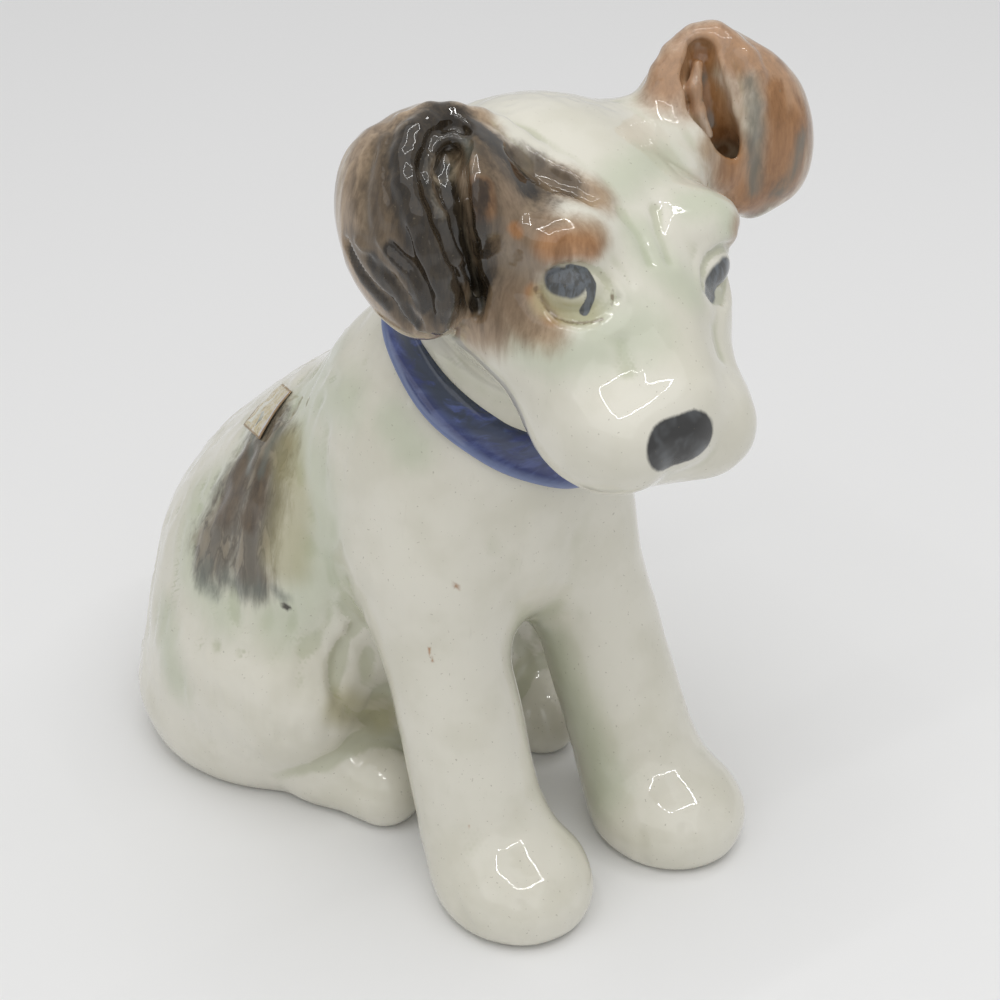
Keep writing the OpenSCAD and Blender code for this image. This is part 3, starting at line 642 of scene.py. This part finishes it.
body_lo, body_hi = np.array([-46.0, -86.0, -1.5]), np.array([46.0, 40.0, 116.0])
d, axes = lattice(body_masses + hollow, body_lo, body_hi, BODY_H)
d = -press(-d, -plane_values(axes, NECK_TURN[:, 2], NECK_AT), LUTE_EDGE)
d = -press(-d, np.broadcast_to(axes[2][None, None, :], d.shape), SEAT_EDGE)
body_v, body_q = surface_net(d, body_lo, BODY_H)
body_v, body_n, body_paint = detailed(body_v, body_q, body_field, hairy_body, [])


# Each casting takes its own share of the skin, parted at the luting faces
HEAD_NODES = ["head", "right_ear", "left_ear"]
BODY_NODES = ["body", "right_foreleg", "left_foreleg", "right_hind_foot", "left_hind_foot", "tail"]


def inside_block(p, at, turn, lo, hi):
    q = (p - at) @ turn
    return ((q > lo) & (q < hi)).all(1)


def head_owner(p):
    """Which of HEAD_NODES each point belongs to."""
    owner = np.full(len(p), 0)
    right = inside_block(p, on_head(-0.36 * SKULL_W, 0, 0), HEAD_TURN,
                         [-HANGING_EAR_L, -0.74 * HANGING_EAR_W, -0.6 * HANGING_EAR_L],
                         [0, HANGING_EAR_L, HANGING_EAR_L])
    left = inside_block(p, on_head(0.4 * SKULL_W, 0, 0.33 * SKULL_H), turning(0, HEAD_TILT + 48, 0),
                        [-PRICKED_EAR_L, -PRICKED_EAR_L, 0],
                        [PRICKED_EAR_L, PRICKED_EAR_L, 1.5 * PRICKED_EAR_L])
    owner[right] = 1
    owner[left] = 2
    return owner


def body_owner(p):
    """Which of BODY_NODES each point belongs to."""
    owner = np.full(len(p), 0)
    reach = TRUNK_L + NECK_H
    fore = inside_block(p, [0, -0.54 * TRUNK_L, 0.68 * ELBOW_H], turning(-19),
                        [-1.4 * BREAST_W, -BREAST_W, -reach], [1.4 * BREAST_W, 0.85 * FORELEG_D, 0])
    owner[fore & (p[:, 0] < LEG_SHIFT)] = 1
    owner[fore & (p[:, 0] >= LEG_SHIFT)] = 2
    for side, label in ((-1, 3), (1, 4)):
        foot = inside_block(p, [side * 0.27 * SEAT_W, -0.229 * TRUNK_L - 0.34 * FOOT_L, 0], turning(26),
                            [-0.8 * FOOT_W, -1.4 * FOOT_L, -FOOT_W], [0.8 * FOOT_W, 0, 1.2 * FOOT_W])
        owner[foot] = label
    tails = distance(p, tail) < distance(p, trunk)
    owner[tails & (p[:, 1] > 0)] = 5
    return owner


def make_object(name, verts, faces, normals=None, paint=None):
    mesh = bpy.data.meshes.new(name)
    mesh.from_pydata((verts * MM).tolist(), [], faces)
    mesh.polygons.foreach_set("use_smooth", [True] * len(mesh.polygons))
    for key, values in (paint or {}).items():
        mesh.attributes.new(key, "FLOAT", "POINT").data.foreach_set("value", np.asarray(values, np.float32))
    mesh.update()
    if normals is not None:
        mesh.normals_split_custom_set_from_vertices(normals.tolist())
    obj = bpy.data.objects.new(name, mesh)
    bpy.context.scene.collection.objects.link(obj)
    return obj


def boundary_loops(quads):
    """The open edges of a skin as closed loops, turned to face outward."""
    edges = {}
    for q in quads.tolist():
        for i in range(4):
            edges[(q[i], q[(i + 1) % 4])] = True
    follow = {}
    for a, b in edges:
        if (b, a) not in edges:
            follow.setdefault(b, []).append(a)
    loops = []
    while follow:
        start = next(iter(follow))
        loop, at = [], start
        while at in follow:
            loop.append(at)
            nexts = follow[at]
            step = nexts.pop()
            if not nexts:
                del follow[at]
            at = step
            if at == start:
                break
        loops.append(loop)
    return loops


def casting(name, verts, quads, normals, paint, mine):
    """The faces of one casting as an object, closed with a flat fan over each luting face."""
    q = quads[mine]
    used, flat = np.unique(q, return_inverse=True)
    q = flat.reshape(q.shape)
    v, n = verts[used], normals[used]
    values = {k: a[used] for k, a in paint.items()}
    faces = q.tolist()
    extra = []
    for loop in boundary_loops(q):
        if len(loop) < 3:
            continue
        centre = len(v) + len(extra)
        extra.append(v[loop].mean(0))
        faces += [[loop[i], loop[(i + 1) % len(loop)], centre] for i in range(len(loop))]
    if extra:
        v = np.vstack([v, extra])
        n = np.vstack([n, np.tile([0, 0, 1.0], (len(extra), 1))])
        values = {k: np.append(a, np.zeros(len(extra))) for k, a in values.items()}
    return make_object(name, v, faces, n, values)


head_label = head_owner(head_v[head_q].mean(1))
body_label = body_owner(body_v[body_q].mean(1))
castings = {}
for label, node in enumerate(HEAD_NODES):
    castings[node] = casting("glazed_" + node, head_v, head_q, head_n, head_paint, head_label == label)
for label, node in enumerate(BODY_NODES):
    castings[node] = casting("glazed_" + node, body_v, body_q, body_n, body_paint, body_label == label)


# Collar: a strap laid round the neck seam, with a raised lip along its lower edge
def leaving(start, way, r, masses, steps=16):
    """How far along each way the masses end, from a first guess r."""
    r = np.full(len(start), r)
    for _ in range(steps):
        r = r - distance(start + r[:, None] * way, masses, band=6.0)
    return r


# Its section: places across its width, and heights over the neck as shares of its thickness
STRAP = [(-0.50, -0.7), (-0.505, 0.2), (-0.49, 0.75), (-0.45, 1.0), (-0.40, 1.1), (-0.35, 1.05),
         (-0.30, 0.88), (-0.24, 0.72), (-0.15, 0.68), (0.0, 0.74), (0.15, 0.8), (0.28, 0.78),
         (0.38, 0.68), (0.45, 0.5), (0.49, 0.25), (0.5, -0.7)]
SIDES = 160
DROP = 1.5    # its middle line lies this far below the seam
angle = np.radians(360 * np.arange(SIDES) / SIDES)
ways = np.stack([np.cos(angle), np.sin(angle), 0 * angle], 1) @ NECK_TURN.T
strap_v = []
for across, tall in STRAP:
    # Laid by hand, so its edges wave a little
    wobble = 0.25 * np.sin(3 * angle + 1.0) + 0.18 * np.sin(7 * angle + 0.4 + across)
    start = NECK_AT + (across * (COLLAR_W - 0.5) + wobble * 0.5 - DROP)[:, None] * NECK_TURN[:, 2]
    r = leaving(start, ways, NECK_D / 4, plain)
    strap_v.append(start + (r + tall * COLLAR_T * (0.95 + 0.08 * np.sin(5 * angle + 2)))[:, None] * ways)
count = len(STRAP)
strap_v = np.stack(strap_v, 1).reshape(-1, 3)
strap_faces = []
for j in range(SIDES):
    for i in range(count):
        k, n = (j + 1) % SIDES, (i + 1) % count
        strap_faces.append([j * count + i, k * count + i, k * count + n, j * count + n])
strap = make_object("glazed_collar", strap_v, strap_faces, None,
                    {"across": np.tile([s[0] for s in STRAP], SIDES)})

# Label: a small foil sticker bent to the back, its lower corner lifted
label_at = np.array([-0.254 * SEAT_W, -0.036 * TRUNK_L, 0.785 * NECK_H])
label_turn = turning(-27, -42, 0)
NU, NV = 14, 20
us, vs = np.linspace(-0.5, 0.5, NU), np.linspace(-0.5, 0.5, NV)
grid = np.array([(u, w) for u in us for w in vs])
start = label_at + (grid * [LABEL_W, LABEL_L]) @ label_turn[:, :2].T
out = np.tile(label_turn[:, 2], (len(grid), 1))
r = leaving(start, out, 0.0, trunk)
CRINKLE, LIFT, FOIL_T, SUNK = 0.10, 0.55, 0.22, 0.05
crinkle = CRINKLE * noise(start, (1.6, 1.6, 1.6), 8) + 0.12
lifted = LIFT * np.clip((-grid[:, 1] - 0.30) / 0.2, 0, 1) ** 2
top = start + (r + FOIL_T + crinkle + lifted)[:, None] * out
under = start + (r - SUNK + lifted)[:, None] * out
label_faces = []
for i in range(NU - 1):
    for j in range(NV - 1):
        k = i * NV + j
        label_faces.append([k, k + NV, k + NV + 1, k + 1])
        label_faces.append([k + NU * NV, k + 1 + NU * NV, k + NV + 1 + NU * NV, k + NV + NU * NV])
rim = (list(range(NV)) + [i * NV + NV - 1 for i in range(1, NU)]
       + [(NU - 1) * NV + j for j in range(NV - 2, -1, -1)] + [i * NV for i in range(NU - 2, 0, -1)])
for m in range(len(rim)):
    k, n = rim[m], rim[(m + 1) % len(rim)]
    label_faces.append([k, n, n + NU * NV, k + NU * NV])
sticker = make_object("foil_label", np.vstack([top, under]), label_faces, None,
                      {"u": np.tile(grid[:, 0], 2), "v": np.tile(grid[:, 1], 2)})


# Materials
class Tree:
    """Writes a material's node tree from short calls."""

    def __init__(self, name):
        self.material = bpy.data.materials.new(name)
        self.material.use_nodes = True
        self.nodes, self.links = self.material.node_tree.nodes, self.material.node_tree.links
        self.nodes.clear()
        self.shader = self.nodes.new("ShaderNodeBsdfPrincipled")
        out = self.nodes.new("ShaderNodeOutputMaterial")
        self.links.new(self.shader.outputs[0], out.inputs[0])

    def put(self, socket, value):
        if isinstance(value, bpy.types.NodeSocket):
            self.links.new(value, socket)
        elif isinstance(value, (tuple, list)) and len(value) == 3 and socket.type == "RGBA":
            socket.default_value = (*value, 1)
        else:
            socket.default_value = value

    def math(self, kind, a, b=0.0):
        n = self.nodes.new("ShaderNodeMath")
        n.operation = kind
        self.put(n.inputs[0], a)
        self.put(n.inputs[1], b)
        return n.outputs[0]

    def step(self, value, lo, hi, top=1.0):
        """A soft step from 0 at lo to top at hi."""
        n = self.nodes.new("ShaderNodeMapRange")
        n.interpolation_type = "SMOOTHSTEP"
        self.put(n.inputs[0], value)
        for i, x in enumerate((lo, hi, 0.0, top)):
            n.inputs[i + 1].default_value = x
        return n.outputs[0]

    def mix(self, share, a, b):
        n = self.nodes.new("ShaderNodeMix")
        n.data_type = "RGBA"
        self.put(n.inputs[0], share)
        self.put(n.inputs[6], a)
        self.put(n.inputs[7], b)
        return n.outputs[2]

    def attribute(self, name):
        n = self.nodes.new("ShaderNodeAttribute")
        n.attribute_name = name
        return n.outputs["Fac"]

    def tones(self, value, lo, hi, first, second):
        """One colour at lo and another at hi."""
        return self.mix(self.step(value, lo, hi), srgb(*first), srgb(*second))

    def place(self, scale=(1, 1, 1)):
        c = self.nodes.new("ShaderNodeTexCoord")
        m = self.nodes.new("ShaderNodeMapping")
        m.inputs["Scale"].default_value = scale
        self.links.new(c.outputs["Object"], m.inputs[0])
        return m.outputs[0]

    def noise(self, size, stretch=(1, 1, 1), detail=3.0, rough=0.5, warp=0.0):
        """Noise with grains of some size, in millimetres, made longer where stretch is below 1."""
        n = self.nodes.new("ShaderNodeTexNoise")
        self.links.new(self.place(stretch), n.inputs["Vector"])
        n.inputs["Scale"].default_value = 1000.0 / size
        n.inputs["Detail"].default_value = detail
        n.inputs["Roughness"].default_value = rough
        n.inputs["Distortion"].default_value = warp
        return n.outputs["Fac"]

    def bump(self, height, strength, distance):
        n = self.nodes.new("ShaderNodeBump")
        n.inputs["Strength"].default_value = strength
        n.inputs["Distance"].default_value = distance
        self.links.new(height, n.inputs["Height"])
        self.links.new(n.outputs[0], self.shader.inputs["Normal"])


def srgb(r, g, b):
    return tuple(((c / 255 + 0.055) / 1.055) ** 2.4 if c > 10 else c / 255 / 12.92 for c in (r, g, b))


def painted(name):
    """Ceramic colour brushed under a clear gloss glaze, from the paint layers of the mesh."""
    t = Tree(name)
    streak = t.noise(2.4, (1, 1, 0.16), 4, 0.6, 0.4)
    fine = t.noise(0.9, (1, 1, 0.25), 3, 0.6, 0.3)
    brushed = t.math("ADD", t.math("MULTIPLY", t.math("SUBTRACT", streak, 0.5), 1.1),
                     t.math("MULTIPLY", t.math("SUBTRACT", fine, 0.5), 0.5))

    def layer(paint, brush, lo, hi, most):
        """How much of a paint layer shows, its edge broken by the brush."""
        amount = t.attribute(paint)
        if brush:
            amount = t.math("ADD", amount, t.math("MULTIPLY", brushed, brush))
        return t.step(amount, lo, hi, most)

    # Ivory clay, the glaze pooled greenish in the hollows, tinted green here and there, with greenish painted
    # shade on the left foreleg
    base = t.tones(t.noise(11, (1, 1, 1), 3, 0.5), 0.35, 0.7, (222, 219, 206), (213, 210, 195))
    base = t.mix(t.step(t.attribute("pool"), 0.02, 0.5, 0.65), base, srgb(186, 188, 162))
    # Green washes, which also paint the shade on the left foreleg
    base = t.mix(layer("green_wash_and_shade", 0.25, 0.15, 0.95, 0.5), base, srgb(182, 192, 165))

    # Patches of the head and flank
    tan = t.tones(brushed, -0.3, 0.3, (174, 146, 114), (146, 116, 84))
    base = t.mix(layer("tan", 0.35, 0.05, 0.8, 0.85), base, tan)
    mauve = t.tones(brushed, -0.3, 0.3, (136, 114, 90), (108, 88, 66))
    base = t.mix(layer("mauve", 0.35, 0.1, 0.75, 0.9), base, mauve)
    coat = layer("coat", 0.55, 0.12, 0.7, 0.92)
    hair = t.noise(2.6, (1, 1, 0.14), 3, 0.5, 0.35)
    strand = t.step(t.math("ABSOLUTE", t.math("SUBTRACT", hair, 0.5)), 0.05, 0.0, 0.45)
    base = t.mix(coat, base, t.tones(hair, 0.3, 0.66, (128, 116, 96), (84, 76, 64)))
    base = t.mix(t.math("MULTIPLY", coat, strand), base, srgb(46, 42, 38))
    wash = t.tones(brushed, -0.3, 0.3, (104, 88, 68), (72, 60, 46))
    base = t.mix(layer("wash", 0.45, 0.12, 0.7, 0.9), base, wash)
    orange = t.tones(brushed, -0.3, 0.35, (176, 126, 80), (132, 88, 46))
    base = t.mix(layer("orange", 0.35, 0.15, 0.8, 0.85), base, orange)
    base = t.mix(layer("slate", 0.7, 0.1, 1.1, 0.7), base, srgb(100, 106, 98))
    dark = t.tones(fine, 0.35, 0.65, (50, 42, 31), (32, 27, 21))
    base = t.mix(layer("dark", 0.4, 0.12, 0.6, 0.93), base, dark)

    # Eyes and nose
    base = t.mix(layer("sclera", 0, 0.2, 0.7, 0.4), base, srgb(196, 194, 168))
    # Yellowish paint below the eye and on the flank, and the olive painted shadow by the haunch
    base = t.mix(layer("yolk_and_shadow", 0, 0.2, 0.8, 0.5), base, srgb(160, 152, 100))
    base = t.mix(layer("lid", 0.3, 0.2, 0.65, 0.7), base, srgb(98, 76, 50))
    iris = t.tones(fine, 0.4, 0.62, (50, 54, 60), (82, 90, 100))
    base = t.mix(layer("iris", 0.15, 0.28, 0.48, 0.92), base, iris)
    ink = t.tones(t.noise(4.0, (1, 1, 1), 2, 0.5, 0.3), 0.38, 0.68, (32, 33, 36), (84, 88, 92))
    base = t.mix(layer("nose", 0.10, 0.30, 0.40, 0.97), base, ink)

    # Iron specks in the clay
    base = t.mix(t.step(t.noise(0.55, (1, 1, 1), 1, 0.5), 0.735, 0.76, 0.35), base, srgb(120, 110, 90))

    t.put(t.shader.inputs["Base Color"], base)
    t.put(t.shader.inputs["Roughness"], t.step(t.noise(6, (1, 1, 1), 2, 0.5), 0.2, 0.8, 0.07))
    t.shader.inputs["IOR"].default_value = 1.52
    t.shader.inputs["Coat Weight"].default_value = 0.3
    t.shader.inputs["Coat Roughness"].default_value = 0.03
    t.bump(t.noise(3.2, (1, 1, 1), 2, 0.4), 0.05, 0.0006)
    return t.material


glaze = painted("painted_glaze")
patch_brown = painted("painted_glaze_brown_patch")
patch_tan = painted("painted_glaze_tan_patch")

# Cobalt brushed round the strap: a light band low down, a dark line at its edge, blackish high at the rear
cobalt = Tree("cobalt_glaze")
across = cobalt.attribute("across")
blue = cobalt.tones(cobalt.noise(1.5, (0.3, 0.3, 1), 4, 0.6, 0.5), 0.35, 0.65, (44, 56, 112), (78, 92, 146))
blue = cobalt.mix(cobalt.step(across, -0.24, -0.36, 0.8), blue, srgb(116, 130, 168))
blue = cobalt.mix(cobalt.step(across, -0.455, -0.49), blue, srgb(30, 36, 92))
place = cobalt.nodes.new("ShaderNodeSeparateXYZ")
cobalt.links.new(cobalt.place(), place.inputs[0])
rearward = cobalt.step(place.outputs["Y"], -0.070, -0.052, 0.9)
broken = cobalt.step(cobalt.noise(1.8, (0.35, 0.35, 1), 3, 0.6, 0.6), 0.3, 0.5)
blackish = cobalt.math("MULTIPLY", rearward, cobalt.step(across, -0.32, 0.12))
blackish = cobalt.math("MULTIPLY", blackish, broken)
blue = cobalt.mix(blackish, blue, srgb(46, 56, 68))
cobalt.put(cobalt.shader.inputs["Base Color"], blue)
cobalt.shader.inputs["Roughness"].default_value = 0.1
cobalt.shader.inputs["Coat Weight"].default_value = 0.5
cobalt.shader.inputs["Coat Roughness"].default_value = 0.03
cobalt.bump(cobalt.noise(1.4, (0.4, 0.4, 1), 3, 0.5), 0.12, 0.0005)

# Foil, crinkled and worn, with a pale lifted end and a tarnished edge
gold = Tree("gold_foil")
u, w = gold.attribute("u"), gold.attribute("v")
edge = gold.math("MAXIMUM", gold.math("ABSOLUTE", u), gold.math("ABSOLUTE", w))
foil = gold.tones(gold.noise(1.3, (1, 1, 1), 4, 0.6, 1.0), 0.4, 0.62, (204, 190, 150), (222, 216, 200))
foil = gold.mix(gold.step(gold.noise(0.8, (1, 1, 1), 3, 0.6, 1.5), 0.56, 0.66, 0.6), foil, srgb(150, 128, 82))
foil = gold.mix(gold.step(w, -0.34, -0.37), foil, srgb(206, 204, 204))
foil = gold.mix(gold.step(edge, 0.455, 0.475, 0.8), foil, srgb(150, 116, 62))
gold.put(gold.shader.inputs["Base Color"], foil)
gold.shader.inputs["Metallic"].default_value = 0.25
gold.shader.inputs["Roughness"].default_value = 0.28
gold.bump(gold.noise(1.1, (1, 1, 1), 3, 0.6, 0.8), 0.5, 0.0003)

ear_finish = {"right_ear": patch_brown, "left_ear": patch_tan}
for node, piece in castings.items():
    piece.data.materials.append(ear_finish.get(node, glaze))
    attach(piece, "root")
    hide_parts(node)
strap.data.materials.append(cobalt.material)
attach(strap, "root")
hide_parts("collar")
sticker.data.materials.append(gold.material)
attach(sticker, "root")
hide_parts("back_label")

# Floor, world and lamps
paper = Tree("floor")
paper.put(paper.shader.inputs["Base Color"], (0.86, 0.86, 0.86))
paper.shader.inputs["Roughness"].default_value = 0.6
FLOOR_HALF = 1500.0
floor_corners = FLOOR_HALF * np.array([[-1, -1, 0], [1, -1, 0], [1, 1, 0], [-1, 1, 0]])
floor = make_object("floor", floor_corners, [[0, 1, 2, 3]])
floor.location.z = -0.1 * MM
floor.data.materials.append(paper.material)

world = bpy.data.worlds.new("world")
world.use_nodes = True
background = world.node_tree.nodes["Background"]
background.inputs["Color"].default_value = (1, 1, 1, 1)
background.inputs["Strength"].default_value = 0.52
bpy.context.scene.world = world


def lamp(name, at, target, size, watts):
    data = bpy.data.lights.new(name, "AREA")
    data.shape = "RECTANGLE"
    data.size, data.size_y = size
    data.energy = watts
    obj = bpy.data.objects.new(name, data)
    obj.location = Vector(at)
    obj.rotation_euler = (Vector(target) - Vector(at)).to_track_quat("-Z", "Y").to_euler()
    bpy.context.scene.collection.objects.link(obj)


# A frame of thin strips overhead, as in a light tent, and one broad soft lamp
TENT_X, TENT_Y, TENT_H, TENT_W, TENT_D = 0.02, -0.16, 0.62, 0.46, 0.30
STRIP = 0.005
for name, side in (("strip_front", -1), ("strip_back", 1)):
    y = TENT_Y + side * TENT_D / 2
    lamp(name, (TENT_X, y, TENT_H), (TENT_X, y, 0), (TENT_W, STRIP), 0.34)
for name, side in (("strip_right", -1), ("strip_left", 1)):
    x = TENT_X + side * TENT_W / 2
    lamp(name, (x, TENT_Y, TENT_H), (x, TENT_Y, 0), (STRIP, TENT_D), 0.22)
lamp("soft_top", (-0.35, -0.3, 1.1), (0, -0.04, 0.06), (1.8, 1.8), 5.6)

bpy.context.scene.view_settings.view_transform = "Standard"
bpy.context.view_layer.update()
